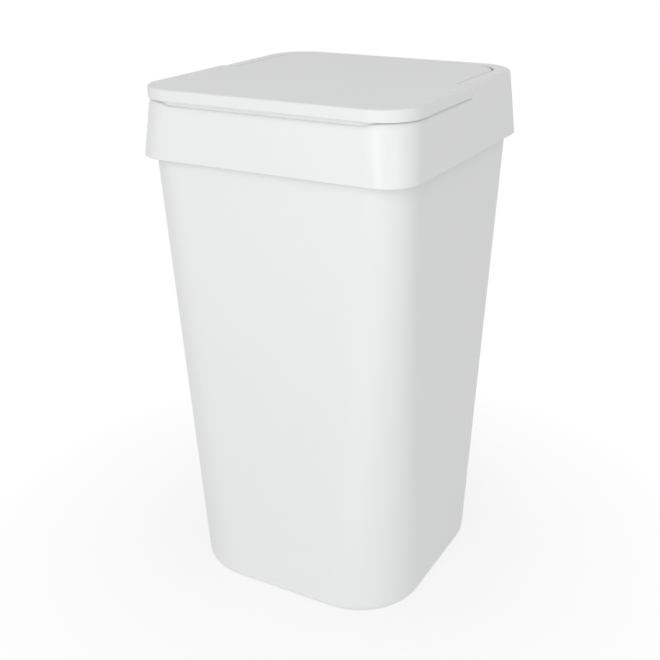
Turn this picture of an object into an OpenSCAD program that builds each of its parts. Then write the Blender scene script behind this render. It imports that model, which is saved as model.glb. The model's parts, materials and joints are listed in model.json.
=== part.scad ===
// Kitchen bin with a lift-off collar and a swing lid: three thin-walled plastic mouldings.
// Millimetres, +Z up. The origin is the middle of the base; the front of the bin faces -Y.

/* [Overall] */
// Height of the closed bin
bin_h = 300; // [250:1:350]

/* [Collar] */
// Width of the collar across its foot
collar_w = 162; // [140:1:190]
// Depth of the collar across its foot, front to back
collar_d = 166; // [145:1:190]
// Height of the collar from its foot to the top of the bin
collar_h = 37; // [32:0.5:48]
// How far each side leans in from the foot to the top
collar_lean = 2.7; // [1.5:0.1:3.5]
// Corner radius of the collar at its foot
collar_foot_r = 18.5; // [14:0.5:24]
// Corner radius of the collar at its top
collar_top_r = 22.5; // [15:0.5:24]
// Wall thickness of the collar
collar_wall = 1.5; // [1.2:0.1:1.8]
// Height of the groove between the lid's edge and the shoulder at the front
groove_h = 2.2; // [1.4:0.1:3.2]
// Height of the soft rounding over the shoulder's edge
shoulder_round = 4; // [2:0.1:5]
// Width of the flat between that rounding and the neck
shoulder_flat = 0.3; // [0.1:0.1:0.8]
// Set-back of the neck behind the collar's face
neck_inset = 2; // [1.8:0.1:2.6]
// Corner radius of the neck
neck_r = 20; // [17:0.5:24]
// Depth of the locating lip below the shoulder
lip_h = 6; // [4:0.5:9]

/* [Ears and ridge] */
// Width of each ear, from the collar's face to the lid recess
ear_w = 8.3; // [7:0.1:10]
// Length of each ear, from the back of the collar's top
ear_l = 76; // [66:0.1:84]
// Width of the ridge behind the lid
ridge_w = 7.7; // [6.5:0.1:10]
// Corner radius of the lid recess
recess_r = 18; // [14:0.5:20]
// Rounding of the ears' and the ridge's outer top edge
ear_round = 2.2; // [1:0.1:3]
// Length of the rounding at the front of each ear
ear_front = 2.4; // [1:0.1:4]
// Depth of the ears' inner wall below the top of the bin
ear_wall_h = 22; // [18:0.5:26]
// Thickness of the ribs that stand on the bucket's rim inside the ears
rib_t = 1.2; // [0.8:0.1:2]
// Number of ribs inside each ear
ear_ribs = 3; // [2:1:4]
// Number of ribs inside the ridge
ridge_ribs = 4; // [2:1:6]

/* [Bucket] */
// Width of the bucket's foot
foot_w = 144; // [120:1:150]
// Depth of the bucket's foot
foot_d = 144; // [120:1:150]
// Corner radius of the bucket at its foot
foot_r = 40; // [30:0.5:50]
// Rounding between the bucket's wall and its base
foot_round = 4.5; // [3:0.1:8]
// Wall thickness of the bucket
bucket_wall = 1.6; // [1.2:0.1:1.8]
// Thickness of the bucket's rim
rim_t = 1.8; // [1.6:0.1:2]
// Height of the thicker rim
rim_h = 6; // [4:0.5:10]
// Thickness of the bucket's floor
floor_t = 1.8; // [1.4:0.1:2.5]
// Width of the ring that the bucket stands on
stand_w = 7; // [5:0.5:12]
// Height of the floor's recess above the stand ring
stand_h = 1.5; // [1:0.1:3]
// How much rounder the bucket's upper corners are than the collar's inside
corner_slack = 1.5; // [0.5:0.1:4]

/* [Lid] */
// Height of the lid's edge
lid_edge_h = 6.2; // [5.6:0.1:7]
// Thickness of the lid's edge
lid_wall = 1.5; // [1.2:0.1:1.8]
// Thickness of the lid's top
lid_plate = 2; // [1.6:0.1:2.4]
// How far the lid overhangs the collar's face
lid_overhang = 0.6; // [0:0.1:1.5]
// Corner radius at the front of the lid
lid_front_r = 22; // [16:0.5:26]
// Rounding of the lid's top edge
lid_round = 1.5; // [0.8:0.1:1.8]
// Rounding of the lid's outer corners at the step
step_outer_r = 2.5; // [1:0.1:4]
// Rounding of the lid's inner corners at the step
step_inner_r = 1; // [0.6:0.1:2]
// Depth of the locating rim under the lid
lid_rim_h = 4; // [3:0.5:6]
// Thickness of the locating rim and the stiffening ribs
lid_rib_t = 1.4; // [1:0.1:2]
// Number of stiffening ribs under the lid
lid_ribs = 3; // [2:1:5]

/* [Hinge] */
// Diameter of the lid's hinge pins
pin_d = 4; // [3:0.1:5]
// Distance of the hinge axis from the back of the collar's top
pivot_back = 33.3; // [31:0.1:38]
// Depth of the hinge axis below the top of the bin
pivot_drop = 6; // [5.5:0.1:6.5]
// Depth of the pins' seats in the ears
seat_l = 4; // [3:0.1:4.5]
// Wall around the pins' seats
seat_wall = 2; // [1.4:0.1:2.4]
// Wall that closes the pins' seats
seat_end = 1; // [0.8:0.1:1.5]
// Angle at which the open lid meets its stops
open_angle = 100; // [95:1:108]
// Distance from the hinge axis to the near end of each stop
stop_near = 8; // [7.5:0.5:12]
// How far each stop reaches into the ears' rounded rear corners
stop_reach = 8; // [4:0.5:10]
// Thickness of the stops
stop_t = 3; // [2:0.1:4]

/* [Fits] */
// Clearance around the bucket's rim inside the collar
rim_clear = 0.35; // [0.2:0.05:0.6]
// Radial clearance of the hinge pins
pin_clear = 0.08; // [0.03:0.01:0.1]
// Gap between the lid and each ear
side_gap = 0.6; // [0.4:0.1:1]
// Gap between the lid's step and the front of each ear
step_gap = 0.7; // [0.6:0.1:1.5]
// Gap between the lid's edge and the shoulder at the bin's sides, where it stands higher
shoulder_gap = 0.7; // [0.4:0.1:1.4]
// Gap between the neck and the locating rim inside it
rim_gap = 1.2; // [0.8:0.1:2]
// Gap behind the end of each hinge pin in its seat
pin_end = 0.4; // [0.2:0.1:0.8]
// Gap round the neck where it passes through the slots in the lid's step
slot_gap = 0.6; // [0.3:0.1:1]
// Gap between the swinging lid and the ridge
swing_gap = 0.35; // [0.2:0.05:0.6]
// Gap between the closed lid and the neck it rests on
rest_gap = 0.1; // [0.05:0.05:0.3]
// Gap between the open lid and its stops
stop_gap = 0.1; // [0.05:0.05:0.3]
// Extra radius of the lid's rear corners, which keeps them clear as they swing down
corner_relief = 2; // [1.5:0.1:4]

/* [Hidden] */

white = [0.93, 0.93, 0.93];
corner_steps = 16; // facets of each quarter turn of an outline
round_steps = 4; // facets of each quarter turn of an edge rounding
ear_steps = 4; // facets of the rounding at the front of each ear
bite = 0.4; // how deep ribs and bosses sink into the wall that carries them
past = 1; // how far a cut reaches past what it cuts
least_r = 0.3; // smallest radius left where an outline is drawn in
foot_edge = 0.6; // rounding of the collar's lower edge
neck_edge = 0.4; // rounding of the neck's and the recess's edges
rim_edge = 0.5; // rounding of the bucket's rim
lid_foot_edge = 0.4; // rounding of the lid's lower edge
rim_lead = 1; // how much deeper the locating rim reaches than the lid's ribs
$fn = 64;

// Levels
z_foot = bin_h - collar_h;
z_lid_foot = bin_h - lid_edge_h;
z_lid_under = bin_h - lid_plate;
z_shoulder = z_lid_foot - groove_h;
z_side = z_lid_foot - shoulder_gap;
z_seat = z_shoulder - collar_wall;
z_neck = z_lid_under - rest_gap;
z_ear_wall = bin_h - ear_wall_h;
z_pivot = bin_h - pivot_drop;

// The collar's outer face at height z: half width, half depth and corner radius
function lean(z) = collar_lean * (z - z_foot) / collar_h;
function face_w(z) = collar_w / 2 - lean(z);
function face_d(z) = collar_d / 2 - lean(z);
function face_r(z) = collar_foot_r + (collar_top_r - collar_foot_r) * (z - z_foot) / collar_h;

// Plan of the lid recess between the ears
recess_x = face_w(bin_h) - ear_w;
recess_y = face_d(bin_h) - ridge_w;
ear_y = face_d(bin_h) - ear_l;
pivot_y = face_d(bin_h) - pivot_back;

// Plan of the bucket's rim, inside the collar
rim_x = face_w(z_seat) - collar_wall - rim_clear;
rim_y = face_d(z_seat) - collar_wall - rim_clear;
rim_r = face_r(z_seat) - collar_wall + corner_slack;
lip_inset = rim_t + rim_clear;

// Plan of the lid: a wide front over the neck, a narrow back between the ears.
// The back edge stays inside the circle that just clears the ridge as the lid swings.
lid_x = face_w(z_lid_foot) + lid_overhang;
lid_front_y = -face_d(z_lid_foot) - lid_overhang;
lid_back_x = recess_x - side_gap;
lid_back_y = pivot_y + sqrt(pow(recess_y - pivot_y - swing_gap, 2) - pow(pivot_drop - lid_round, 2));
lid_back_r = recess_r + corner_relief;
lid_step_y = ear_y - step_gap;
lug_r = pin_d / 2 + seat_wall;

// ---------- outlines and lofts ----------

function arc(cx, cy, r, from, to, steps) =
    [for (i = [0:steps]) let (a = from + (to - from) * i / steps) [cx + r * cos(a), cy + r * sin(a)]];

function rounded_rect(w, d, r) = [
    each arc(w - r, d - r, r, 0, 90, corner_steps),
    each arc(r - w, d - r, r, 90, 180, corner_steps),
    each arc(r - w, r - d, r, 180, 270, corner_steps),
    each arc(w - r, r - d, r, 270, 360, corner_steps),
];

function at_z(outline, z) = [for (p = outline) [p[0], p[1], z]];

// Points of a rounded edge as [inset, rise]: from the side (inset 0) to the top (rise r)
function edge_round(r) =
    [for (i = [0:round_steps]) let (a = 90 * i / round_steps) [r * (1 - cos(a)), r * sin(a)]];

function band(a, b, n) = [
    for (i = [0:n - 1]) each [
        [a + i, b + i, b + (i + 1) % n],
        [a + i, b + (i + 1) % n, a + (i + 1) % n]
    ]
];

// A solid through a stack of outlines, closed by the first and the last of them
module loft(rings) {
    n = len(rings[0]);
    last = (len(rings) - 1) * n;
    polyhedron(
        points = [for (ring = rings) each ring],
        faces = [
            [for (i = [0:n - 1]) i],
            for (k = [0:len(rings) - 2]) each band(k * n, (k + 1) * n, n),
            [for (i = [n - 1:-1:0]) last + i]
        ],
        convexity = 6
    );
}

// A frame through outlines that go round its wall's section and meet again
module loft_frame(rings) {
    n = len(rings[0]);
    m = len(rings);
    polyhedron(
        points = [for (ring = rings) each ring],
        faces = [for (k = [0:m - 1]) each band(k * n, ((k + 1) % m) * n, n)],
        convexity = 8
    );
}

module mirror_x() {
    children();
    mirror([1, 0, 0]) children();
}

// ---------- bucket ----------

// The bucket's outside narrows and grows rounder from the collar down to the foot
function wall_plan(z, inset) =
    let (t = max(0, min(1, (z - foot_round) / (z_foot - foot_round))))
    at_z(rounded_rect(
        foot_w / 2 + (rim_x - foot_w / 2) * t - inset,
        foot_d / 2 + (rim_y - foot_d / 2) * t - inset,
        foot_r + (rim_r - foot_r) * t - inset), z);

function foot_plan(inset, z) =
    at_z(rounded_rect(foot_w / 2 - inset, foot_d / 2 - inset, foot_r - inset), z);

module bucket_shell() {
    z_floor = stand_h + floor_t;
    loft([
        foot_plan(foot_round + stand_w, stand_h),
        foot_plan(foot_round + stand_w, 0),
        for (i = [round_steps:-1:0])
            let (e = edge_round(foot_round)[i]) foot_plan(e[0], foot_round - e[1]),
        wall_plan(z_foot, 0),
        for (e = edge_round(rim_edge)) wall_plan(z_seat - rim_edge + e[1], e[0]),
        wall_plan(z_seat, rim_t - rim_edge),
        wall_plan(z_seat - rim_edge, rim_t),
        wall_plan(z_seat - rim_h, rim_t),
        wall_plan(z_seat - rim_h - 2 * rim_t, bucket_wall),
        wall_plan(z_foot, bucket_wall),
        for (e = edge_round(foot_round))
            wall_plan(z_floor + foot_round - e[1], bucket_wall + e[0])
    ]);
}

module bucket() {
    color(white) bucket_shell();
}

// ---------- collar ----------

// One section of the collar's wall, as [half width, half depth, corner radius, height].
// It runs up the face, over the top, down the inside and back along the foot.
function on_face(inset, z) = [face_w(z) - inset, face_d(z) - inset, face_r(z) - inset, z];
function on_neck(inset, z) =
    [face_w(z_shoulder) - neck_inset - inset, face_d(z_shoulder) - neck_inset - inset, neck_r - inset, z];
function on_rim(inset, z) = [rim_x - inset, rim_y - inset, rim_r - inset, z];
function on_recess(inset, z) = [recess_x + inset, recess_y + inset, recess_r + inset, z];

function foot_section() = [
    on_face(collar_wall, z_foot + foot_edge),
    on_face(collar_wall - foot_edge, z_foot),
    on_face(foot_edge, z_foot),
    on_face(0, z_foot + foot_edge)
];

// Front and sides: shoulder at height z_top, neck and locating lip
function front_section(z_top) =
    let (
        shoulder_d = neck_inset - shoulder_flat,
        z_deck = z_top - collar_wall
    )
    [
        each foot_section(),
        for (e = edge_round(1)) on_face(shoulder_d * e[0], z_top - shoulder_round * (1 - e[1])),
        on_neck(0, z_top),
        on_neck(0, z_neck - neck_edge),
        on_neck(neck_edge, z_neck),
        on_neck(collar_wall - neck_edge, z_neck),
        on_neck(collar_wall, z_neck - neck_edge),
        on_neck(collar_wall, z_top + collar_wall),
        on_rim(lip_inset + collar_wall, z_deck),
        on_rim(lip_inset + collar_wall, z_seat - lip_h),
        on_rim(lip_inset, z_seat - lip_h),
        on_rim(lip_inset, z_deck),
        on_rim(lip_inset / 2, z_deck),
        on_face(collar_wall, z_deck)
    ];

// Back: an ear or the ridge, open from below, with the lid recess's wall inside it
function back_section() = [
    each foot_section(),
    for (e = edge_round(ear_round)) on_face(e[0], bin_h - ear_round + e[1]),
    on_recess(neck_edge * 3, bin_h),
    on_recess(neck_edge * 2, bin_h),
    on_recess(neck_edge, bin_h),
    on_recess(neck_edge / 4, bin_h - neck_edge / 3),
    on_recess(0, bin_h - neck_edge),
    on_recess(0, z_shoulder),
    on_recess(0, z_seat),
    on_recess(0, z_ear_wall),
    on_recess(collar_wall, z_ear_wall),
    on_recess(collar_wall, bin_h - collar_wall),
    on_face(ear_round, bin_h - collar_wall),
    on_face(collar_wall, z_seat)
];

function mix(a, b, t) = a * (1 - t) + b * t;

// The ear's front, where the section turns from the side's into the ear's
function ear_points(front, back) = [
    for (i = [0:ear_steps])
        let (s = mix(front, back, sin(90 * i / ear_steps)))
        [s[0], ear_y + ear_front * pow(i / ear_steps, 3), s[3]]
];

// The shoulder climbs in the first half of a front corner's turn, from the front (turn 0) to the side (turn 90)
function shoulder_z(turn) = mix(z_side, z_shoulder, pow(1 - sin(min(2 * turn, 90)), 2));

// A point of a front corner's arc, this far round from the front to the side
function corner_point(s, turn, side) =
    [side * (s[0] - s[2] + s[2] * sin(turn)), s[2] - s[1] - s[2] * cos(turn), s[3]];

// One ring of the collar: row k of each section, round the bin
function collar_outline(k, corner, back) =
    let (
        front = corner[0][k],
        behind = back[k],
        ear = ear_points(front, behind)
    )
    concat(
        ear,
        at_z(arc(behind[0] - behind[2], behind[1] - behind[2], behind[2], 0, 90, corner_steps), behind[3]),
        at_z(arc(behind[2] - behind[0], behind[1] - behind[2], behind[2], 90, 180, corner_steps), behind[3]),
        [for (i = [ear_steps:-1:0]) [-ear[i][0], ear[i][1], ear[i][2]]],
        [for (i = [corner_steps:-1:0]) corner_point(corner[i][k], 90 * i / corner_steps, -1)],
        [for (i = [0:corner_steps]) corner_point(corner[i][k], 90 * i / corner_steps, 1)]
    );

module collar_shell() {
    corner = [for (i = [0:corner_steps]) front_section(shoulder_z(90 * i / corner_steps))];
    back = back_section();
    loft_frame([for (k = [0:len(back) - 1]) collar_outline(k, corner, back)]);
}

// Ribs across the hollow of the ears and the ridge stand on the bucket's rim
module seat_ribs() {
    reach_x = face_w(z_seat) - collar_wall + bite;
    reach_y = face_d(z_seat) - collar_wall + bite;
    rib_top = bin_h - collar_wall + bite;
    ear_span = recess_y - recess_r - ear_y;
    mirror_x()
        for (i = [1:ear_ribs])
            translate([recess_x + collar_wall - bite, ear_y + ear_span * (i - 0.5) / ear_ribs - rib_t / 2, z_seat])
                cube([reach_x - recess_x - collar_wall + bite, rib_t, rib_top - z_seat]);
    ridge_span = 2 * (recess_x - recess_r);
    for (i = [0:ridge_ribs - 1])
        translate([
            ridge_span * (i / (ridge_ribs - 1) - 0.5) - rib_t / 2,
            recess_y + collar_wall - bite,
            z_seat
        ])
            cube([rib_t, reach_y - recess_y - collar_wall + bite, rib_top - z_seat]);
}

module along_pivot(x, length, r) {
    translate([x, pivot_y, z_pivot]) rotate([0, 90, 0]) cylinder(h = length, r = r);
}

// The stop on each ear's inner wall: its back face lies along the open lid's lower edge
module lid_stop() {
    stop_w = lid_wall + side_gap;
    far = recess_y - recess_r - pivot_y + stop_reach;
    offset_z = z_lid_foot - z_pivot;
    translate([recess_x - stop_w, pivot_y, z_pivot])
        rotate([-open_angle, 0, 0])
            translate([0, stop_near, offset_z - stop_gap - stop_t])
                cube([stop_w + bite, far - stop_near, stop_t]);
}

module collar() {
    color(white)
        difference() {
            union() {
                collar_shell();
                seat_ribs();
                mirror_x() {
                    along_pivot(recess_x + collar_wall - bite, seat_l - collar_wall + bite + seat_end, lug_r);
                    lid_stop();
                }
            }
            mirror_x() along_pivot(recess_x - past, seat_l + past, pin_d / 2 + pin_clear);
        }
}

// ---------- lid ----------

// The lid's outline, drawn in by inset: wide over the neck, narrow between the ears
function lid_plan(inset, z) =
    let (
        w = lid_x - inset,
        b = lid_back_x - inset,
        front = lid_front_y + inset,
        back = lid_back_y - inset,
        step = lid_step_y - inset,
        fr = lid_front_r - inset,
        br = lid_back_r - inset,
        outer = max(step_outer_r - inset, least_r),
        inner = step_inner_r + inset
    )
    at_z([
        each arc(w - fr, front + fr, fr, 270, 360, corner_steps),
        each arc(w - outer, step - outer, outer, 0, 90, round_steps),
        each arc(b + inner, step + inner, inner, 270, 180, round_steps),
        each arc(b - br, back - br, br, 0, 90, corner_steps),
        each arc(br - b, back - br, br, 90, 180, corner_steps),
        each arc(-b - inner, step + inner, inner, 0, -90, round_steps),
        each arc(outer - w, step - outer, outer, 90, 180, round_steps),
        each arc(fr - w, front + fr, fr, 180, 270, corner_steps)
    ], z);

module lid_shell() {
    loft([
        lid_plan(lid_wall, z_lid_under),
        lid_plan(lid_wall, z_lid_foot),
        lid_plan(lid_foot_edge, z_lid_foot),
        lid_plan(0, z_lid_foot + lid_foot_edge),
        for (e = edge_round(lid_round)) lid_plan(e[0], bin_h - lid_round + e[1])
    ]);
}

// The neck's sides pass through slots in the lid's step
module neck_slots() {
    neck_x = face_w(z_shoulder) - neck_inset;
    mirror_x()
        translate([neck_x - collar_wall - slot_gap, lid_step_y - lid_wall - past, z_lid_foot - past])
            cube([collar_wall + 2 * slot_gap, lid_wall + 2 * past, z_lid_under - z_lid_foot + past]);
}

// A rim under the lid drops inside the neck and keeps the closed lid in place
module lid_rim() {
    w = face_w(z_shoulder) - neck_inset - collar_wall - rim_gap;
    d = face_d(z_shoulder) - neck_inset - collar_wall - rim_gap;
    r = neck_r - collar_wall - rim_gap;
    difference() {
        translate([0, 0, z_lid_under - lid_rim_h]) linear_extrude(lid_rim_h + bite) difference() {
            polygon(rounded_rect(w, d, r));
            polygon(rounded_rect(w - lid_rib_t, d - lid_rib_t, r - lid_rib_t));
        }
        translate([-w - past, lid_step_y - lid_wall, z_lid_under - lid_rim_h - past])
            cube([2 * (w + past), 2 * d, lid_rim_h + 2 * past]);
    }
}

module lid_underribs() {
    h = lid_rim_h - rim_lead;
    front = face_d(z_shoulder) - neck_inset - collar_wall - rim_gap - lid_rib_t / 2;
    pitch = 2 * (lid_back_x - lid_back_r) / (lid_ribs - 1);
    for (i = [0:lid_ribs - 1])
        translate([pitch * (i - (lid_ribs - 1) / 2) - lid_rib_t / 2, -front, z_lid_under - h])
            cube([lid_rib_t, front + lid_back_y - lid_wall, h + bite]);
}

module lid() {
    pin_l = side_gap + seat_l - pin_end;
    color(white) {
        difference() {
            lid_shell();
            neck_slots();
        }
        lid_rim();
        lid_underribs();
        mirror_x() {
            along_pivot(lid_back_x - lid_wall, lid_wall, lug_r);
            along_pivot(lid_back_x - bite, pin_l + bite, pin_d / 2);
        }
    }
}

bucket();
collar();
lid();
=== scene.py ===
"""Looks of a white swing-lid kitchen bin: three moulded pieces, their plastic, light and camera.

Sections and outlines are in millimetres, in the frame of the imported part:
+Z up, the front towards -Y. Lamps and camera are placed in metres.
"""

import json
import math

import bmesh
import bpy
import numpy as np
from mathutils import Matrix, Vector


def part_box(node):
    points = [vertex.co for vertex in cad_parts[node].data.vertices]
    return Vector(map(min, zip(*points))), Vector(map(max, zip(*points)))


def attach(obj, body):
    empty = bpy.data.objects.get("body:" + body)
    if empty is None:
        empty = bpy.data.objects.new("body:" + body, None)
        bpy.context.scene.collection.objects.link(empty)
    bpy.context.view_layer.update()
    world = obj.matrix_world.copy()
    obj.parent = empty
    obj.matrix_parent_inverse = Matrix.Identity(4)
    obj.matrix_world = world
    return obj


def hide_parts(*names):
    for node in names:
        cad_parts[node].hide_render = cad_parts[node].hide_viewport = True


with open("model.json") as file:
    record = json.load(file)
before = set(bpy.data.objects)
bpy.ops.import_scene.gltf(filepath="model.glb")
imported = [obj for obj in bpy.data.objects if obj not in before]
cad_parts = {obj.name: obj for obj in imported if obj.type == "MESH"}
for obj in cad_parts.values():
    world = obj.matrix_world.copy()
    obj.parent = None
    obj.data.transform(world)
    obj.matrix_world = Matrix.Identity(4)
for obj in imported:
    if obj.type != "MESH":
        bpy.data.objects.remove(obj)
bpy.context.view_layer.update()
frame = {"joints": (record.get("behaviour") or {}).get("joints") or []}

MM = 0.001


def box_mm(node):
    """A CAD node's lowest and highest corners, in millimetres."""
    return [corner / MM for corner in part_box(node)]


# ---------- sizes ----------

bucket_box = box_mm("bucket")
collar_box = box_mm("collar")
lid_box = box_mm("lid")

TOP = lid_box[1].z
SEAT_Z = bucket_box[1].z
FOOT_Z = collar_box[0].z

# Collar: skirt, shoulder, neck and locating lip
WALL = 1.5
FOOT_EDGE = 0.6
LEAN = 2.7 / 37
FACE_R = (18.5, 22.5)
SHOULDER_Z = SEAT_Z + WALL
SHOULDER_SOFT = (4, 1.7)
SHOULDER_GAP = 0.25
NECK_INSET = 2
NECK_R = 20
NECK_CREASE = 0.12
NECK_GAP = 0.1
LIP_DROP = 6
RIM_CLEAR = 0.35

# Ears, the ridge between them, and the ribs and stops inside
EAR_WIDTH = 8.3
EAR_LENGTH = 76
RIDGE_WIDTH = 7.7
EAR_ROUND = 2.2
EAR_EDGE = 2.4
EAR_LEAD = 0.4
EAR_TAIL = 1
EAR_WALL_Z = TOP - 22
RECESS_R = 18
EAR_RIBS = 3
RIDGE_RIBS = 4
COLLAR_RIB = 1.2
STOP_FROM_LUG = 4
STOP_REACH = 8
STOP_THICK = 3
STOP_GAP = 0.1
STOP_EDGE = 0.2
LID_OPEN = math.radians(100)

# Bucket
RIM_THICK = 1.8
RIM_HEIGHT = 6
BUCKET_WALL = 1.6
FOOT_HALF = 72
FOOT_R = 40
FOOT_ROUND = 4.5
FLOOR = 1.8
BASE_FLAT = 6
STAND_WIDTH = 7
STAND_RISE = 1.5
CORNER_SLACK = 1.5

# Lid
LID_PLATE = 2
LID_WALL = 1.5
LID_FOOT_Z = TOP - 6.2
LID_FRONT_R = 22
LID_BACK_R = 20
LID_ROUND = 1.5
LID_FLAT = 1.2
LID_SIDE_GAP = 0.6
STEP_GAP = 0.7
STEP_OUTER_R = 2.5
STEP_INNER_R = 1
LID_RIM_DROP = 4
LID_RIM_GAP = 1.2
LID_RIB = 1.4
LID_RIBS = 3
SLOT_GAP = 0.6
LID_GATE_Y = -20

# Hinge
PIN_R = 2
PIN_GAP = 0.4
SEAT_R = 2.08
SEAT_DEPTH = 4
SEAT_END = 1
LUG_R = 4
CHAMFER = 0.3

# Roundings that are hardly seen, and how far a joined piece reaches into the one that carries it
EDGE = 0.4
RIM_EDGE = 0.5
INNER_EDGE = 0.6
CREASE = 1
RIB_EDGE = 0.15
CUTTER_EDGE = 0.1
SUNK = 0.4

# The collar's face, and the lid recess between its ears
FACE_X = collar_box[1].x + LEAN * FOOT_EDGE
FACE_Y = collar_box[1].y + LEAN * FOOT_EDGE
TOP_X = FACE_X - LEAN * (TOP - FOOT_Z)
TOP_Y = FACE_Y - LEAN * (TOP - FOOT_Z)
RECESS_X = TOP_X - EAR_WIDTH
RECESS_Y = TOP_Y - RIDGE_WIDTH
EAR_Y = TOP_Y - EAR_LENGTH
LID_BACK_X = RECESS_X - LID_SIDE_GAP
LID_STEP_Y = EAR_Y - STEP_GAP
PIVOT = next(j for j in frame["joints"] if j["name"] == "lid_swing")["pos_m"]
PIVOT_Y = PIVOT[1] / MM
PIVOT_Z = PIVOT[2] / MM

# Mesh: points beside and along roundings, and the most of an edge that one of them takes
SUPPORT = 0.35
SIDE_SUPPORT = 1.5
ARC_STEPS = 24
STEP_ARC_STEPS = 6
EAR_STEPS = 10
EDGE_STEPS = 6
ROUND_STEPS = 48
BUCKET_CORNER_STEPS = 28
BUCKET_SIDE_STEPS = 8
EDGE_SHARE = 0.4
LEAST_REACH = 0.02
LEAST_R = 0.3
SMOOTH_BELOW = math.radians(38)


# ---------- nodes ----------

class Wire:
    """A node's output that takes part in sums: each operator adds a Math node."""

    def __init__(self, tree, socket):
        self.tree = tree
        self.socket = socket

    def math(self, operation, *values):
        sockets = dict(enumerate(values))
        return self.tree.add("ShaderNodeMath", {"operation": operation}, sockets)

    def __add__(self, other):
        return self.math("ADD", self, other)

    def __radd__(self, other):
        return self.math("ADD", other, self)

    def __sub__(self, other):
        return self.math("SUBTRACT", self, other)

    def __rsub__(self, other):
        return self.math("SUBTRACT", other, self)

    def __mul__(self, other):
        return self.math("MULTIPLY", self, other)

    def __rmul__(self, other):
        return self.math("MULTIPLY", other, self)

    def __truediv__(self, other):
        return self.math("DIVIDE", self, other)

    def __mod__(self, other):
        return self.math("FLOORED_MODULO", self, other)

    def floor(self):
        return self.math("FLOOR", self)

    def least(self, other):
        return self.math("MINIMUM", self, other)

    def most(self, other):
        return self.math("MAXIMUM", self, other)

    def mixed(self, low, high):
        """low where this is 0, high where it is 1."""
        return low + (high - low) * self

    def clamped(self):
        return self.least(1).most(0)


class Tree:
    """A node tree under construction."""

    def __init__(self, tree):
        self.tree = tree

    def add(self, kind, settings=None, sockets=None, out=0):
        """Adds a node: its type, its settings, its sockets' values or links. Gives one output."""
        node = self.tree.nodes.new(kind)
        for name, value in (settings or {}).items():
            if name == "stops":
                self.set_stops(node.color_ramp, value)
            else:
                setattr(node, name, value)
        for key, value in (sockets or {}).items():
            if isinstance(value, Wire):
                self.tree.links.new(value.socket, node.inputs[key])
            else:
                node.inputs[key].default_value = value
        return Wire(self, node.outputs[out]) if node.outputs else node

    def other(self, wire, out):
        """Another output of the node that a wire comes from."""
        return Wire(self, wire.socket.node.outputs[out])

    @staticmethod
    def set_stops(ramp, stops):
        while len(ramp.elements) < len(stops):
            ramp.elements.new(1)
        for element, (position, value) in zip(ramp.elements, stops):
            element.position = position
            element.color = (value, value, value, 1)


def geometry_tree(name, inputs):
    """A geometry node tree with named inputs, and a wire from each of them."""
    group = bpy.data.node_groups.new(name, "GeometryNodeTree")
    for label, kind in inputs.items():
        group.interface.new_socket(label, in_out="INPUT", socket_type=kind)
    group.interface.new_socket("Geometry", in_out="OUTPUT", socket_type="NodeSocketGeometry")
    tree = Tree(group)
    start = group.nodes.new("NodeGroupInput")
    wires = {label: Wire(tree, start.outputs[label]) for label in inputs}
    return tree, wires


def give_geometry(tree, wire, material):
    """Ends a geometry tree: its instances made real, in this material."""
    real = tree.add("GeometryNodeRealizeInstances", None, {0: wire})
    painted = tree.add("GeometryNodeSetMaterial", None, {"Geometry": real, "Material": material})
    tree.add("NodeGroupOutput", None, {"Geometry": painted})


def grown(name, group, values):
    """A plain mesh object that a geometry tree makes from these values of its inputs."""
    carrier = bpy.data.objects.new(name, bpy.data.meshes.new(name))
    bpy.context.scene.collection.objects.link(carrier)
    modifier = carrier.modifiers.new("make", "NODES")
    modifier.node_group = group
    for item in group.interface.items_tree:
        if item.in_out == "INPUT":
            modifier[item.identifier] = values[item.name]
    return as_plain(carrier)


# ---------- meshes ----------

def as_plain(piece):
    """Turns a piece with its modifiers into a plain mesh."""
    depsgraph = bpy.context.evaluated_depsgraph_get()
    mesh = bpy.data.meshes.new_from_object(piece.evaluated_get(depsgraph))
    piece.modifiers.clear()
    old = piece.data
    piece.data = mesh
    bpy.data.meshes.remove(old)
    mesh.name = piece.name
    return piece


def new_piece(name, vertices, faces):
    """A mesh object from points in millimetres, with its faces turned outwards."""
    mesh = bpy.data.meshes.new(name)
    mesh.from_pydata([tuple(MM * c for c in p) for p in vertices], [], faces)
    work = bmesh.new()
    work.from_mesh(mesh)
    bmesh.ops.recalc_face_normals(work, faces=work.faces)
    work.to_mesh(mesh)
    work.free()
    piece = bpy.data.objects.new(name, mesh)
    bpy.context.scene.collection.objects.link(piece)
    return piece


def loft(name, rings, frame_shape=False):
    """A closed mesh through rings of equally many points. A frame's last ring meets its first."""
    n = len(rings[0])
    m = len(rings)
    faces = []
    for k in range(m if frame_shape else m - 1):
        a = k * n
        b = (k + 1) % m * n
        faces += [(a + i, a + (i + 1) % n, b + (i + 1) % n, b + i) for i in range(n)]
    if not frame_shape:
        faces += [tuple(range(n)), tuple(range((m - 1) * n, m * n))]
    return new_piece(name, [p for ring in rings for p in ring], faces)


def turned(name, stations):
    """A closed round piece about the X axis, through (distance along it, radius)."""
    turns = np.linspace(0, 2 * math.pi, ROUND_STEPS, endpoint=False)
    rings = [[(x, r * math.cos(a), r * math.sin(a)) for a in turns] for x, r in stations]
    return loft(name, rings)


def on_hinge(name, stations, side):
    """A round piece about the hinge axis; its distances run outwards from the bin's middle."""
    piece = turned(name, stations)
    if side < 0:
        place(piece, Matrix.Rotation(math.pi, 4, "Z"))
    return place(piece, Matrix.Translation(MM * Vector((0, PIVOT_Y, PIVOT_Z))))


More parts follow.
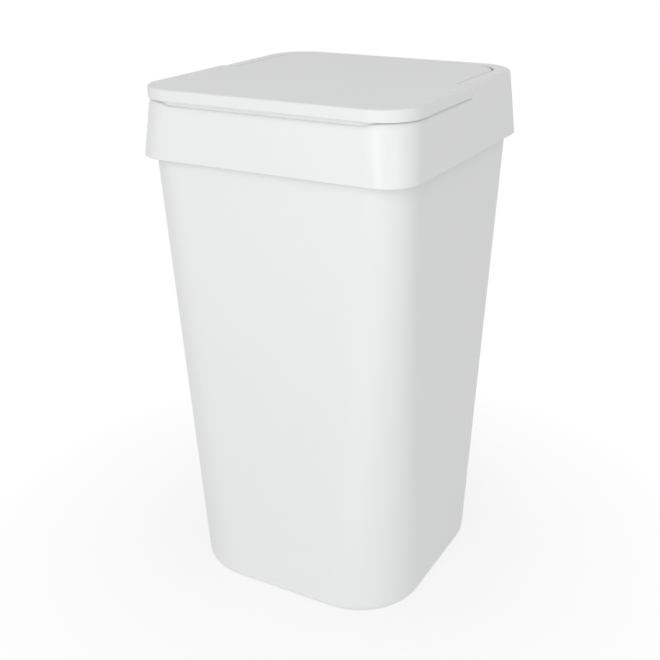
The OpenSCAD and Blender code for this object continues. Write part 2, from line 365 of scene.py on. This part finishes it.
def gate_mark(x, y, z):
    """The stub that the mould's inlet leaves on a hidden face, hanging down from height z."""
    pad = [(-SUNK, 3), (0.12, 3), (0.2, 2.9), (0.2, 1.5)]
    tip = [(0.5, 1.3), (0.55, 0.6)]
    stub = turned("gate", pad + tip)
    place(stub, Matrix.Rotation(math.pi / 2, 4, "Y"))
    return place(stub, Matrix.Translation(MM * Vector((x, y, z))))


def block(name, size, edge):
    """A box about the origin whose edges are all rounded."""
    piece = new_piece(name, [], [])
    work = bmesh.new()
    bmesh.ops.create_cube(work, size=1)
    bmesh.ops.scale(work, vec=[MM * s for s in size], verts=work.verts)
    bmesh.ops.bevel(
        work, geom=work.edges[:], offset=MM * edge, segments=2, profile=0.5, affect="EDGES",
    )
    work.to_mesh(piece.data)
    work.free()
    return piece


def place(piece, matrix):
    """Moves a piece's mesh, so that its object stays at the origin."""
    piece.data.transform(matrix)
    return piece


def carve(piece, others, operation):
    """Joins other pieces to this one, or cuts them out of it, and keeps one closed mesh."""
    for other in others:
        modifier = piece.modifiers.new(operation.lower(), "BOOLEAN")
        modifier.object = other
        modifier.operation = operation
        modifier.solver = "EXACT"
    as_plain(piece)
    for other in others:
        bpy.data.objects.remove(other)
    return piece


def smooth(piece):
    """Smooth shading, apart from the edges that turn sharply."""
    piece.data.shade_smooth()
    piece.data.set_sharp_from_angle(angle=SMOOTH_BELOW)
    return piece


# ---------- outlines and sections ----------

def rounded(corners, closed):
    """The points of a section through (point, radius) corners, each rounded between supports.

    A point's first number lies across the wall and its last one is its height.
    The numbers between them follow along. In place of a radius, a pair gives how far
    a corner's rounding reaches back and on.
    """
    count = len(corners)
    ways = [corners[(i + 1) % count][0] - corners[i][0] for i in range(count)]
    rooms = [math.hypot(way[0], way[-1]) for way in ways]
    units = [way / room for way, room in zip(ways, rooms)]
    reaches = []
    for i, (_, size) in enumerate(corners):
        if not isinstance(size, tuple):
            cosine = -(units[i - 1][0] * units[i][0] + units[i - 1][-1] * units[i][-1])
            opening = math.acos(max(-1, min(1, cosine)))
            reach = size / math.tan(opening / 2)
            size = [min(reach, EDGE_SHARE * rooms[i - 1], EDGE_SHARE * rooms[i])] * 2
        reaches.append([max(reach, LEAST_REACH) for reach in size])
    points = []
    for i, (corner, _) in enumerate(corners):
        if not closed and i in (0, count - 1):
            points.append(corner)
            continue
        (back, on), after = reaches[i], reaches[(i + 1) % count][0]
        before = reaches[i - 1][1]
        u, v = -units[i - 1], units[i]
        points.append(
            corner + u * (back + min(SUPPORT, EDGE_SHARE * (rooms[i - 1] - back - before)))
        )
        for step in range(EDGE_STEPS + 1):
            turn = math.pi / 2 * step / EDGE_STEPS
            points.append(
                corner + u * back * (1 - math.sin(turn)) + v * on * (1 - math.cos(turn))
            )
        points.append(corner + v * (on + min(SUPPORT, EDGE_SHARE * (rooms[i] - on - after))))
    return points


def flat_section(corners, closed):
    """A rounded section through ((inset, height), radius) corners."""
    return rounded([(np.array(point, float), radius) for point, radius in corners], closed)


def arc(centre, radius, start, end, steps=ARC_STEPS):
    """Points along an arc, in degrees, with a support point a little before and after it."""
    turns = [math.radians(start + (end - start) * i / steps) for i in range(steps + 1)]
    points = [
        Vector((centre[0] + radius * math.cos(a), centre[1] + radius * math.sin(a)))
        for a in turns
    ]
    way = 1 if end > start else -1
    ahead = [way * Vector((-math.sin(a), math.cos(a))) for a in (turns[0], turns[-1])]
    return [points[0] - SIDE_SUPPORT * ahead[0], *points, points[-1] + SIDE_SUPPORT * ahead[1]]


def raised(points, z):
    return [(p[0], p[1], z) for p in points]


def rounded_rect(w, d, r):
    return [
        *arc((w - r, d - r), r, 0, 90),
        *arc((r - w, d - r), r, 90, 180),
        *arc((r - w, r - d), r, 180, 270),
        *arc((w - r, r - d), r, 270, 360),
    ]


# ---------- bucket ----------

def shell_tree():
    """A shell whose section goes round a rounded rectangle that widens from its foot to its rim.

    Each point of the Section object gives a ring: x is its inset from the wall, y its share of the
    outline's size, where 0 closes the ring to a pole, and z its height.
    """
    number = "NodeSocketFloat"
    tree, given = geometry_tree("tapered shell", {
        "Section": "NodeSocketObject",
        "Foot Half Width": number,
        "Rim Half Width": number,
        "Foot Half Depth": number,
        "Rim Half Depth": number,
        "Foot Corner": number,
        "Rim Corner": number,
        "Taper From": number,
        "Taper To": number,
        "Corner Steps": "NodeSocketInt",
        "Side Steps": "NodeSocketInt",
        "Material": "NodeSocketMaterial",
    })
    section = tree.add("GeometryNodeObjectInfo", None, {"Object": given["Section"]}, "Geometry")
    rings = tree.add(
        "GeometryNodeAttributeDomainSize", {"component": "MESH"}, {0: section}, "Point Count",
    )
    steps = given["Corner Steps"]
    quarter = steps + given["Side Steps"]
    around = quarter * 4 + 1
    grid = tree.add("GeometryNodeMeshGrid", None, {"Vertices X": rings, "Vertices Y": around})
    index = tree.add("GeometryNodeInputIndex")
    place_of = tree.add(
        "GeometryNodeSampleIndex",
        {"data_type": "FLOAT_VECTOR", "clamp": True},
        {
            "Geometry": section,
            "Value": tree.add("GeometryNodeInputPosition"),
            "Index": (index / around).floor(),
        },
    )
    inset = tree.add("ShaderNodeSeparateXYZ", None, {0: place_of}, "X")
    share = tree.other(inset, "Y")
    height = tree.other(inset, "Z")

    taper = (height - given["Taper From"]) / (given["Taper To"] - given["Taper From"])
    taper = taper.clamped()
    w = taper.mixed(given["Foot Half Width"], given["Rim Half Width"]) - inset
    d = taper.mixed(given["Foot Half Depth"], given["Rim Half Depth"]) - inset
    r = (taper.mixed(given["Foot Corner"], given["Rim Corner"]) - inset).most(MM)

    place_in_ring = (index % around) % (quarter * 4)
    corner = (place_in_ring / quarter).floor()
    step = place_in_ring % quarter
    along = (step - steps).most(0) / given["Side Steps"]

    def on_arc(of_corner, turns):
        """The point of a corner's arc, this share of its quarter turn round, as x and y."""
        angle = (of_corner + turns) * (math.pi / 2)
        middle = (of_corner + 0.5) * (math.pi / 2)
        cosine = angle.math("COSINE", angle)
        sine = angle.math("SINE", angle)
        side_x = middle.math("SIGN", middle.math("COSINE", middle))
        side_y = middle.math("SIGN", middle.math("SINE", middle))
        return side_x * (w - r) + r * cosine, side_y * (d - r) + r * sine

    here = on_arc(corner, step.least(steps) / steps)
    ahead = on_arc(corner + 1, 0)
    x, y = (share * along.mixed(a, b) for a, b in zip(here, ahead))
    position = tree.add("ShaderNodeCombineXYZ", None, {"X": x, "Y": y, "Z": height})
    shaped = tree.add("GeometryNodeSetPosition", None, {"Geometry": grid, "Position": position})
    seam = {"Geometry": shaped, "Distance": 0.01 * MM}
    merged = tree.add("GeometryNodeMergeByDistance", None, seam)
    give_geometry(tree, merged, given["Material"])
    return tree.tree


def bucket_section():
    """The bucket's section as (inset, height), from the recessed base over the rim to the floor."""
    floor_z = STAND_RISE + FLOOR
    return flat_section([
        ((FOOT_ROUND + STAND_WIDTH + BASE_FLAT, STAND_RISE), 0),
        ((FOOT_ROUND + STAND_WIDTH, STAND_RISE), RIM_EDGE),
        ((FOOT_ROUND + STAND_WIDTH, 0), RIM_EDGE),
        ((0, 0), FOOT_ROUND),
        ((0, FOOT_Z), 0),
        ((0, SEAT_Z), RIM_EDGE),
        ((RIM_THICK, SEAT_Z), RIM_EDGE),
        ((RIM_THICK, SEAT_Z - RIM_HEIGHT), CREASE),
        ((BUCKET_WALL, SEAT_Z - RIM_HEIGHT - 2 * RIM_THICK), CREASE),
        ((BUCKET_WALL, FOOT_Z), 0),
        ((BUCKET_WALL, floor_z), FOOT_ROUND),
        ((BUCKET_WALL + FOOT_ROUND + BASE_FLAT, floor_z), 0),
    ], closed=False)


def make_bucket(material):
    points = [(inset, 1, z) for inset, z in bucket_section()]
    points = [(points[0][0], 0, points[0][2]), *points, (points[-1][0], 0, points[-1][2])]
    section = new_piece("bucket_section", [(x, y / MM, z) for x, y, z in points], [])
    bucket = grown("bucket_shell", shell_tree(), {
        "Section": section,
        "Foot Half Width": MM * FOOT_HALF,
        "Rim Half Width": MM * bucket_box[1].x,
        "Foot Half Depth": MM * FOOT_HALF,
        "Rim Half Depth": MM * bucket_box[1].y,
        "Foot Corner": MM * FOOT_R,
        "Rim Corner": MM * rim_radius(),
        "Taper From": MM * FOOT_ROUND,
        "Taper To": MM * FOOT_Z,
        "Corner Steps": BUCKET_CORNER_STEPS,
        "Side Steps": BUCKET_SIDE_STEPS,
        "Material": material,
    })
    bpy.data.objects.remove(section)
    return carve(bucket, [gate_mark(0, 0, STAND_RISE)], "UNION")


# ---------- collar ----------

def face_radius(z):
    return FACE_R[0] + (FACE_R[1] - FACE_R[0]) * (z - FOOT_Z) / (TOP - FOOT_Z)


def rim_radius():
    return face_radius(SEAT_Z) - WALL + CORNER_SLACK


def on_face(inset, z):
    """The ring on the collar's face at a height: half width, half depth, corner radius, height."""
    lean = LEAN * (z - FOOT_Z) + inset
    return np.array((FACE_X - lean, FACE_Y - lean, face_radius(z) - inset, z))


def on_neck(inset, z):
    lean = LEAN * (SHOULDER_Z - FOOT_Z) + NECK_INSET + inset
    return np.array((FACE_X - lean, FACE_Y - lean, NECK_R - inset, z))


def on_rim(inset, z):
    return np.array((bucket_box[1].x - inset, bucket_box[1].y - inset, rim_radius() - inset, z))


def on_recess(inset, z):
    return np.array((RECESS_X + inset, RECESS_Y + inset, RECESS_R + inset, z))


def shoulder_at(turn):
    """The shoulder's height round a front corner, which runs from the front (0) to the side (1).

    It climbs through the first half of the corner.
    """
    dip = (1 - math.sin(math.pi * min(turn, 0.5))) ** 2
    high = LID_FOOT_Z - SHOULDER_GAP
    return high + (SHOULDER_Z - high) * dip


def front_section(shoulder_z):
    """The front's and the sides' section, with shoulder, neck and locating lip."""
    neck_z = TOP - LID_PLATE - NECK_GAP
    deck_z = shoulder_z - WALL
    lip = RIM_THICK + RIM_CLEAR
    return rounded([
        (on_face(WALL, FOOT_Z), RIM_EDGE),
        (on_face(0, FOOT_Z), FOOT_EDGE),
        (on_face(0, shoulder_z), SHOULDER_SOFT),
        (on_neck(0, shoulder_z), NECK_CREASE),
        (on_neck(0, neck_z), EDGE),
        (on_neck(WALL, neck_z), EDGE),
        (on_neck(WALL, shoulder_z + WALL), CREASE),
        (on_rim(lip + WALL, deck_z), CREASE),
        (on_rim(lip + WALL, SEAT_Z - LIP_DROP), EDGE),
        (on_rim(lip, SEAT_Z - LIP_DROP), EDGE),
        (on_rim(lip, deck_z), EDGE),
        (on_rim(lip / 2, deck_z), 0),
        (on_face(WALL, deck_z), INNER_EDGE),
    ], closed=True)


def back_section():
    """The ears' and the ridge's section, hollow from below.

    Its corners are as many as the front's, so some of them only lie on a straight wall.
    """
    return rounded([
        (on_face(WALL, FOOT_Z), RIM_EDGE),
        (on_face(0, FOOT_Z), FOOT_EDGE),
        (on_face(0, TOP), EAR_ROUND),
        (on_recess(2, TOP), 0),
        (on_recess(1.2, TOP), 0),
        (on_recess(0, TOP), RIM_EDGE),
        (on_recess(0, SHOULDER_Z), 0),
        (on_recess(0, SEAT_Z), 0),
        (on_recess(0, EAR_WALL_Z), EDGE),
        (on_recess(WALL, EAR_WALL_Z), EDGE),
        (on_recess(WALL, TOP - WALL), INNER_EDGE),
        (on_face(EAR_ROUND, TOP - WALL), INNER_EDGE),
        (on_face(WALL, SEAT_Z), 0),
    ], closed=True)


def collar_outline(corner, back):
    """One ring round the collar: one point of the ear's section, and of each of the front's.

    Each point is its half width, half depth, corner radius and height.
    """
    side = corner[-1]
    ear = [(EAR_Y - EAR_LEAD, side[0], side[3])]
    for i in range(1, EAR_STEPS + 1):
        at = side + (back - side) * math.sin(math.pi / 2 * i / EAR_STEPS)
        ear.append((EAR_Y + EAR_EDGE * (i / EAR_STEPS) ** 3, at[0], at[3]))
    ear.append((EAR_Y + EAR_EDGE + EAR_TAIL, back[0], back[3]))
    w, d, r, z = back
    behind = [
        *raised(arc((w - r, d - r), r, 0, 90), z),
        *raised(arc((r - w, d - r), r, 90, 180), z),
    ]
    front = [(corner[0][0] - corner[0][2] - SIDE_SUPPORT, -corner[0][1], corner[0][3])]
    for i, (w, d, r, z) in enumerate(corner):
        turn = math.pi / 2 * i / (len(corner) - 1)
        front.append((w - r + r * math.sin(turn), r - d - r * math.cos(turn), z))
    front.append((side[0], side[2] - side[1] + SIDE_SUPPORT, side[3]))
    right = [(x, y, z) for y, x, z in ear]
    left = [(-x, y, z) for y, x, z in reversed(ear)]
    return [*right, *behind, *left, *((-x, y, z) for x, y, z in reversed(front)), *front]


def rib_row_tree():
    """A row of ribs: one rib object, copied from First in even steps."""
    tree, given = geometry_tree("rib row", {
        "Rib": "NodeSocketObject",
        "Count": "NodeSocketInt",
        "First": "NodeSocketVector",
        "Step": "NodeSocketVector",
        "Material": "NodeSocketMaterial",
    })
    rib = tree.add("GeometryNodeObjectInfo", None, {"Object": given["Rib"]}, "Geometry")
    points = tree.add(
        "GeometryNodeMeshLine",
        {"mode": "OFFSET"},
        {"Count": given["Count"], "Start Location": given["First"], "Offset": given["Step"]},
    )
    row = tree.add("GeometryNodeInstanceOnPoints", None, {"Points": points, "Instance": rib})
    give_geometry(tree, row, given["Material"])
    return tree.tree


def rib_row(name, tree, size, first, step, count, material):
    """A row of ribs of one size, in millimetres, from the first one's middle in steps."""
    rib = block("rib", size, RIB_EDGE)
    row = grown(name, tree, {
        "Rib": rib,
        "Count": count,
        "First": [MM * c for c in first],
        "Step": [MM * c for c in step],
        "Material": material,
    })
    bpy.data.objects.remove(rib)
    return row


def collar_ribs(tree, material):
    """The ribs that stand on the bucket's rim, across the hollow ears and the ridge."""
    face_x = on_face(WALL, SEAT_Z)[0] + SUNK
    face_y = on_face(WALL, SEAT_Z)[1] + SUNK
    near_x = RECESS_X + WALL - SUNK
    near_y = RECESS_Y + WALL - SUNK
    height = TOP - WALL + SUNK - SEAT_Z
    middle_z = SEAT_Z + height / 2
    pitch = (RECESS_Y - RECESS_R - EAR_Y) / EAR_RIBS
    rows = []
    for side in (-1, 1):
        first = (side * (near_x + face_x) / 2, EAR_Y + pitch / 2, middle_z)
        size = (face_x - near_x, COLLAR_RIB, height)
        rows.append(rib_row("ear_ribs", tree, size, first, (0, pitch, 0), EAR_RIBS, material))
    wide = RECESS_X - RECESS_R
    first = (-wide, (near_y + face_y) / 2, middle_z)
    size = (COLLAR_RIB, face_y - near_y, height)
    step = (2 * wide / (RIDGE_RIBS - 1), 0, 0)
    rows.append(rib_row("ridge_ribs", tree, size, first, step, RIDGE_RIBS, material))
    return rows


def lid_stop(side):
    """The stop on an ear's inner wall, along the lower edge of the open lid."""
    wide = LID_WALL + LID_SIDE_GAP + SUNK
    near = LUG_R + STOP_FROM_LUG
    far = RECESS_Y - RECESS_R - PIVOT_Y + STOP_REACH
    stop = block("stop", (wide, far - near, STOP_THICK), STOP_EDGE)
    under_lid = LID_FOOT_Z - PIVOT_Z - STOP_GAP - STOP_THICK / 2
    place(stop, Matrix.Translation(MM * Vector((0, (near + far) / 2, under_lid))))
    place(stop, Matrix.Rotation(-LID_OPEN, 4, "X"))
    x = side * (RECESS_X + SUNK - wide / 2)
    return place(stop, Matrix.Translation(MM * Vector((x, PIVOT_Y, PIVOT_Z))))


def make_collar(ribs, material):
    corner = [front_section(shoulder_at(i / ARC_STEPS)) for i in range(ARC_STEPS + 1)]
    rings = [collar_outline(points, behind) for *points, behind in zip(*corner, back_section())]
    collar = loft("collar_moulding", rings, frame_shape=True)
    collar.data.materials.append(material)
    end = RECESS_X + SEAT_DEPTH + SEAT_END
    boss = [(RECESS_X + WALL - SUNK, LUG_R), (end - CHAMFER, LUG_R), (end, LUG_R - CHAMFER)]
    seat = [(RECESS_X - 1, SEAT_R), (RECESS_X + SEAT_DEPTH, SEAT_R)]
    sides = (-1, 1)
    added = [on_hinge("boss", boss, side) for side in sides]
    added += [lid_stop(side) for side in sides]
    added += collar_ribs(ribs, material)
    carve(collar, added, "UNION")
    return carve(collar, [on_hinge("seat", seat, side) for side in sides], "DIFFERENCE")


# ---------- lid ----------

def lid_outline(inset, z):
    """The lid's outline drawn in by inset: wide over the neck, narrow between the ears."""
    w = lid_box[1].x - inset
    b = LID_BACK_X - inset
    front = lid_box[0].y + inset
    back = lid_box[1].y - inset
    step = LID_STEP_Y - inset
    fr = LID_FRONT_R - inset
    br = LID_BACK_R - inset
    outer = max(STEP_OUTER_R - inset, LEAST_R)
    inner = STEP_INNER_R + inset
    right = [
        *arc((w - fr, front + fr), fr, 270, 360),
        *arc((w - outer, step - outer), outer, 0, 90, STEP_ARC_STEPS),
        *arc((b + inner, step + inner), inner, 270, 180, STEP_ARC_STEPS),
        *arc((b - br, back - br), br, 0, 90),
    ]
    left = [(-p[0], p[1]) for p in reversed(right)]
    return raised([*right, *left], z)


def lid_shell():
    """The lid's plate and edge, open from below."""
    under = TOP - LID_PLATE
    section = flat_section([
        ((LID_ROUND + LID_FLAT, TOP), 0),
        ((0, TOP), LID_ROUND),
        ((0, LID_FOOT_Z), EDGE),
        ((LID_WALL, LID_FOOT_Z), EDGE),
        ((LID_WALL, under), RIM_EDGE),
        ((LID_WALL + LID_FLAT, under), 0),
    ], closed=False)
    return loft("lid_moulding", [lid_outline(inset, z) for inset, z in section])


def neck_slots():
    """Slots in the lid's step, where the neck's sides pass through it."""
    neck_x = on_neck(0, SHOULDER_Z)[0]
    under = TOP - LID_PLATE
    high = under - LID_FOOT_Z + 1
    slots = []
    for side in (-1, 1):
        slot = block("slot", (WALL + 2 * SLOT_GAP, LID_WALL + 2, high), CUTTER_EDGE)
        middle = (side * (neck_x - WALL / 2), LID_STEP_Y - LID_WALL / 2, under - high / 2)
        slots.append(place(slot, Matrix.Translation(MM * Vector(middle))))
    return slots


def lid_rim():
    """The rim under the lid that drops inside the neck, open towards the back."""
    w, d, r, _ = on_neck(WALL + LID_RIM_GAP, 0)
    low = TOP - LID_PLATE - LID_RIM_DROP
    high = TOP - LID_PLATE + SUNK
    section = flat_section([
        ((0, low), EDGE),
        ((0, high), 0),
        ((LID_RIB, high), 0),
        ((LID_RIB, low), EDGE),
    ], closed=True)
    rings = [raised(rounded_rect(w - inset, d - inset, r - inset), z) for inset, z in section]
    rim = loft("lid_rim", rings, frame_shape=True)
    away = block("away", (4 * w, 4 * d, 10 * LID_RIM_DROP), CUTTER_EDGE)
    place(away, Matrix.Translation(MM * Vector((0, LID_STEP_Y - LID_WALL + 2 * d, TOP))))
    return carve(rim, [away], "DIFFERENCE")


def make_lid(ribs, material):
    lid = carve(lid_shell(), neck_slots(), "DIFFERENCE")
    lid.data.materials.clear()
    lid.data.materials.append(material)
    under = TOP - LID_PLATE
    front = -on_neck(WALL + LID_RIM_GAP + LID_RIB / 2, 0)[1]
    back = lid_box[1].y - LID_WALL + SUNK
    drop = LID_RIM_DROP - 1
    pitch = LID_BACK_X - LID_BACK_R
    size = (LID_RIB, back - front, drop + SUNK)
    first = (-pitch, (front + back) / 2, under - (drop - SUNK) / 2)
    rows = rib_row("lid_ribs", ribs, size, first, (pitch, 0, 0), LID_RIBS, material)
    inner = LID_BACK_X - LID_WALL
    lug = [(inner - 0.2, LUG_R - CHAMFER), (inner, LUG_R), (LID_BACK_X, LUG_R)]
    end = LID_BACK_X + LID_SIDE_GAP + SEAT_DEPTH - PIN_GAP
    pin = [(LID_BACK_X - SUNK, PIN_R), (end - EDGE, PIN_R), (end, PIN_R - EDGE)]
    added = [lid_rim(), rows, gate_mark(LID_BACK_X / 3, LID_GATE_Y, under)]
    for side in (-1, 1):
        added += [on_hinge("lug", lug, side), on_hinge("pin", pin, side)]
    return carve(lid, added, "UNION")


# ---------- plastic ----------

SATIN = (0.86, 0.865, 0.87)
SHADE = 0.985
WAVE_HEIGHT = 0.4 * MM
GRAIN_HEIGHT = 0.02 * MM


def polypropylene(name, tint, gloss, grain):
    """White moulded polypropylene: fine grain, slow waviness, and gloss that varies a little."""
    material = bpy.data.materials.new(name)
    material.use_nodes = True
    material.node_tree.nodes.clear()
    tree = Tree(material.node_tree)
    place_of = tree.add("ShaderNodeTexCoord", None, None, "Object")

    def noise(scale, detail, roughness=0.5):
        sockets = {"Vector": place_of, "Scale": scale, "Detail": detail, "Roughness": roughness}
        return tree.add("ShaderNodeTexNoise", None, sockets)

    flow = noise(9, 2)
    cloud = noise(38, 3)
    fine = noise(2600, 2, 0.6)
    wave = noise(60, 1)
    colour = tree.add(
        "ShaderNodeMix",
        {"data_type": "RGBA"},
        {
            0: (flow * 0.6 + cloud * 0.4).clamped(),
            6: [c * SHADE for c in tint] + [1],
            7: [*tint, 1],
        },
        2,
    )
    scuff = tree.add(
        "ShaderNodeValToRGB",
        {"stops": [(0.55, 0), (0.72, 1)]},
        {0: noise(150, 6, 0.65)},
    )
    roughness = gloss + (cloud - 0.5) * 0.08 + scuff * 0.05
    low = tree.add("ShaderNodeBump", None, {
        "Strength": 0.06,
        "Distance": WAVE_HEIGHT,
        "Height": wave,
    })
    skin = tree.add("ShaderNodeBump", None, {
        "Strength": grain,
        "Distance": GRAIN_HEIGHT,
        "Height": fine,
        "Normal": low,
    })
    shader = tree.add("ShaderNodeBsdfPrincipled", None, {
        "Base Color": colour,
        "Roughness": roughness,
        "IOR": 1.49,
        "Normal": skin,
    })
    tree.add("ShaderNodeOutputMaterial", None, {"Surface": shader})
    return material


# ---------- stage ----------

FLOOR_HALF = 3000
FLOOR_PAINT = (0.9, 0.9, 0.9, 1)
SHADOW_REACH = 0.09
SHADOW_FADE = 0.16
NEAR_WHITE = 0.8
AIM = (0, 0, 0.15)
CAMERA_AT = (0.2729, -0.5011, 0.3888)
CAMERA_ANGLES = (29.06, 22.96, 0.34)
SENSOR_WIDTH = 36
FOCAL_LENGTH = 55.24
STRAIGHT_OR_REFLECTED = ("Is Camera Ray", "Is Glossy Ray")


def in_view(tree):
    """1 where the camera looks, straight or in a reflection, and 0 where light comes from."""
    straight, reflected = (
        tree.add("ShaderNodeLightPath", None, None, ray) for ray in STRAIGHT_OR_REFLECTED
    )
    return (straight + reflected).clamped()


def floor_material():
    """A pale floor that is seen as white, with the object's shadow kept."""
    material = bpy.data.materials.new("floor")
    material.use_nodes = True
    material.node_tree.nodes.clear()
    tree = Tree(material.node_tree)
    place_of = tree.add("ShaderNodeTexCoord", None, None, "Object")
    distance = tree.add("ShaderNodeVectorMath", {"operation": "LENGTH"}, {0: place_of}, "Value")
    away = ((distance - SHADOW_REACH) / SHADOW_FADE).clamped()
    whiteness = in_view(tree) * away.mixed(NEAR_WHITE, 1)
    paint = tree.add("ShaderNodeBsdfDiffuse", None, {"Color": FLOOR_PAINT})
    white = tree.add("ShaderNodeEmission", None, {"Color": (1, 1, 1, 1), "Strength": 1})
    tree.add("ShaderNodeOutputMaterial", None, {
        "Surface": tree.add("ShaderNodeMixShader", None, {0: whiteness, 1: paint, 2: white}),
    })
    return material


def make_floor():
    sides = ((-1, -1), (1, -1), (1, 1), (-1, 1))
    corners = [(FLOOR_HALF * x, FLOOR_HALF * y, 0) for x, y in sides]
    floor = new_piece("floor", corners, [(0, 1, 2, 3)])
    floor.data.materials.append(floor_material())


def make_world(level):
    """Even light of this level from all round, which is seen as white."""
    world = bpy.data.worlds.new("studio")
    bpy.context.scene.world = world
    world.use_nodes = True
    world.node_tree.nodes.clear()
    tree = Tree(world.node_tree)
    tree.add("ShaderNodeOutputWorld", None, {
        "Surface": tree.add("ShaderNodeBackground", None, {
            "Color": (1, 1, 1, 1),
            "Strength": in_view(tree).mixed(level, 1),
        }),
    })


def soft_lamp(name, at, size, watts):
    """A square soft lamp aimed at the middle of the bin."""
    lamp = bpy.data.lights.new(name, "AREA")
    lamp.shape = "SQUARE"
    lamp.size = size
    lamp.energy = watts
    holder = bpy.data.objects.new(name, lamp)
    holder.location = at
    aim = Vector(AIM) - holder.location
    holder.rotation_euler = aim.to_track_quat("-Z", "Y").to_euler()
    bpy.context.scene.collection.objects.link(holder)


def make_camera():
    """The photograph's camera: its place, azimuth, elevation, roll and focal length."""
    azimuth, elevation, roll = (math.radians(angle) for angle in CAMERA_ANGLES)
    back = Vector((
        math.sin(azimuth) * math.cos(elevation),
        -math.cos(azimuth) * math.cos(elevation),
        math.sin(elevation),
    ))
    right = Vector((math.cos(azimuth), math.sin(azimuth), 0))
    up = back.cross(right)
    across = math.cos(roll) * right - math.sin(roll) * up
    along = math.sin(roll) * right + math.cos(roll) * up
    data = bpy.data.cameras.new("camera")
    data.sensor_width = SENSOR_WIDTH
    data.lens = FOCAL_LENGTH
    data.clip_start = 0.01
    camera = bpy.data.objects.new("camera", data)
    turned_to = Matrix((across, along, back)).transposed().to_4x4()
    camera.matrix_world = Matrix.Translation(CAMERA_AT) @ turned_to
    bpy.context.scene.collection.objects.link(camera)
    bpy.context.scene.camera = camera


# ---------- the scene ----------

make_camera()
make_floor()
make_world(level=0.52)
soft_lamp("left", (-0.68, -1.87, 0.36), 0.6, 1.5)
soft_lamp("front", (0.17, -1.98, 0.36), 0.6, 5.4)
soft_lamp("corner", (0.99, -1.72, 0.36), 0.6, 1.3)
soft_lamp("right", (1.63, -1.14, 0.36), 0.6, 2.8)
soft_lamp("side", (1.96, -0.35, 0.36), 0.6, 0.6)
soft_lamp("near", (0.19, -0.71, 0.67), 0.5, 1.1)
soft_lamp("top", (0, 0, 2.15), 1.2, 1.5)
bpy.context.scene.view_settings.view_transform = "Standard"

plastics = {
    "bucket": polypropylene("bucket_plastic", SATIN, 0.34, 0.12),
    "collar": polypropylene("collar_plastic", SATIN, 0.34, 0.12),
    "lid": polypropylene("lid_plastic", SATIN, 0.38, 0.16),
}
rib_rows = rib_row_tree()
mouldings = {
    "bucket": make_bucket(plastics["bucket"]),
    "collar": make_collar(rib_rows, plastics["collar"]),
    "lid": make_lid(rib_rows, plastics["lid"]),
}
for body, moulding in mouldings.items():
    smooth(moulding)
    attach(moulding, body)
    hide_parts(body)
